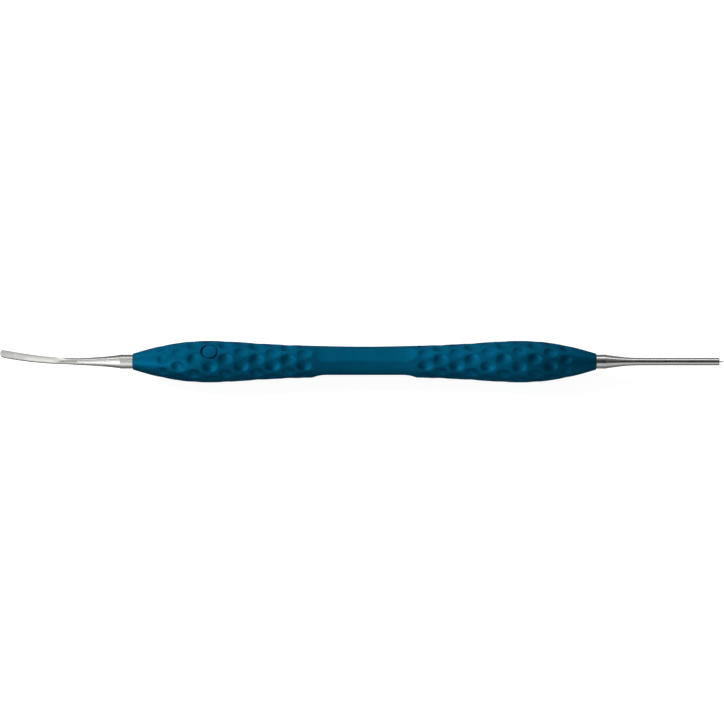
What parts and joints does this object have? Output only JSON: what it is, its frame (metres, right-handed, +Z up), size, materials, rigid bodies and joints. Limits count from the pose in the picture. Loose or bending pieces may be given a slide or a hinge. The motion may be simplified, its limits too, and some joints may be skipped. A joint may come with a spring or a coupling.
{
  "type": "dental elevator",
  "caption": "Slim double-ended dental elevator with a dimpled polymer grip, a curved steel blade at one end and a straight steel rod with a fine point at the other.",
  "frame": {"origin": "on the instrument's axis, halfway along the grip, which is the middle of its box within a millimetre", "axes": "+X along the axis from the blade to the rod, +Z up through the middle of the identification disc and of one waist flat, and the blade curves up towards +Z"},
  "size_m": [0.1772, 0.0102, 0.0104],
  "materials": {
    "grip_polymer": "satin moulded polymer, deep petrol blue",
    "disc_polymer": "satin moulded polymer, the grip's blue",
    "tag_ceramic": "dark moulded capsule",
    "tube_steel": "drawn stainless tube",
    "working_steel": "satin stainless steel",
    "seal_rubber": "dark fluoroelastomer"
  },
  "bodies": {
    "root": {"grip": "grip_polymer", "id_disc": "disc_polymer", "id_tag": "tag_ceramic", "core_tube": "tube_steel", "elevator_blade": "working_steel", "probe_rod": "working_steel", "probe_point": "working_steel", "blade_seal": "seal_rubber", "rod_seal": "seal_rubber"}
  },
  "joints": []
}
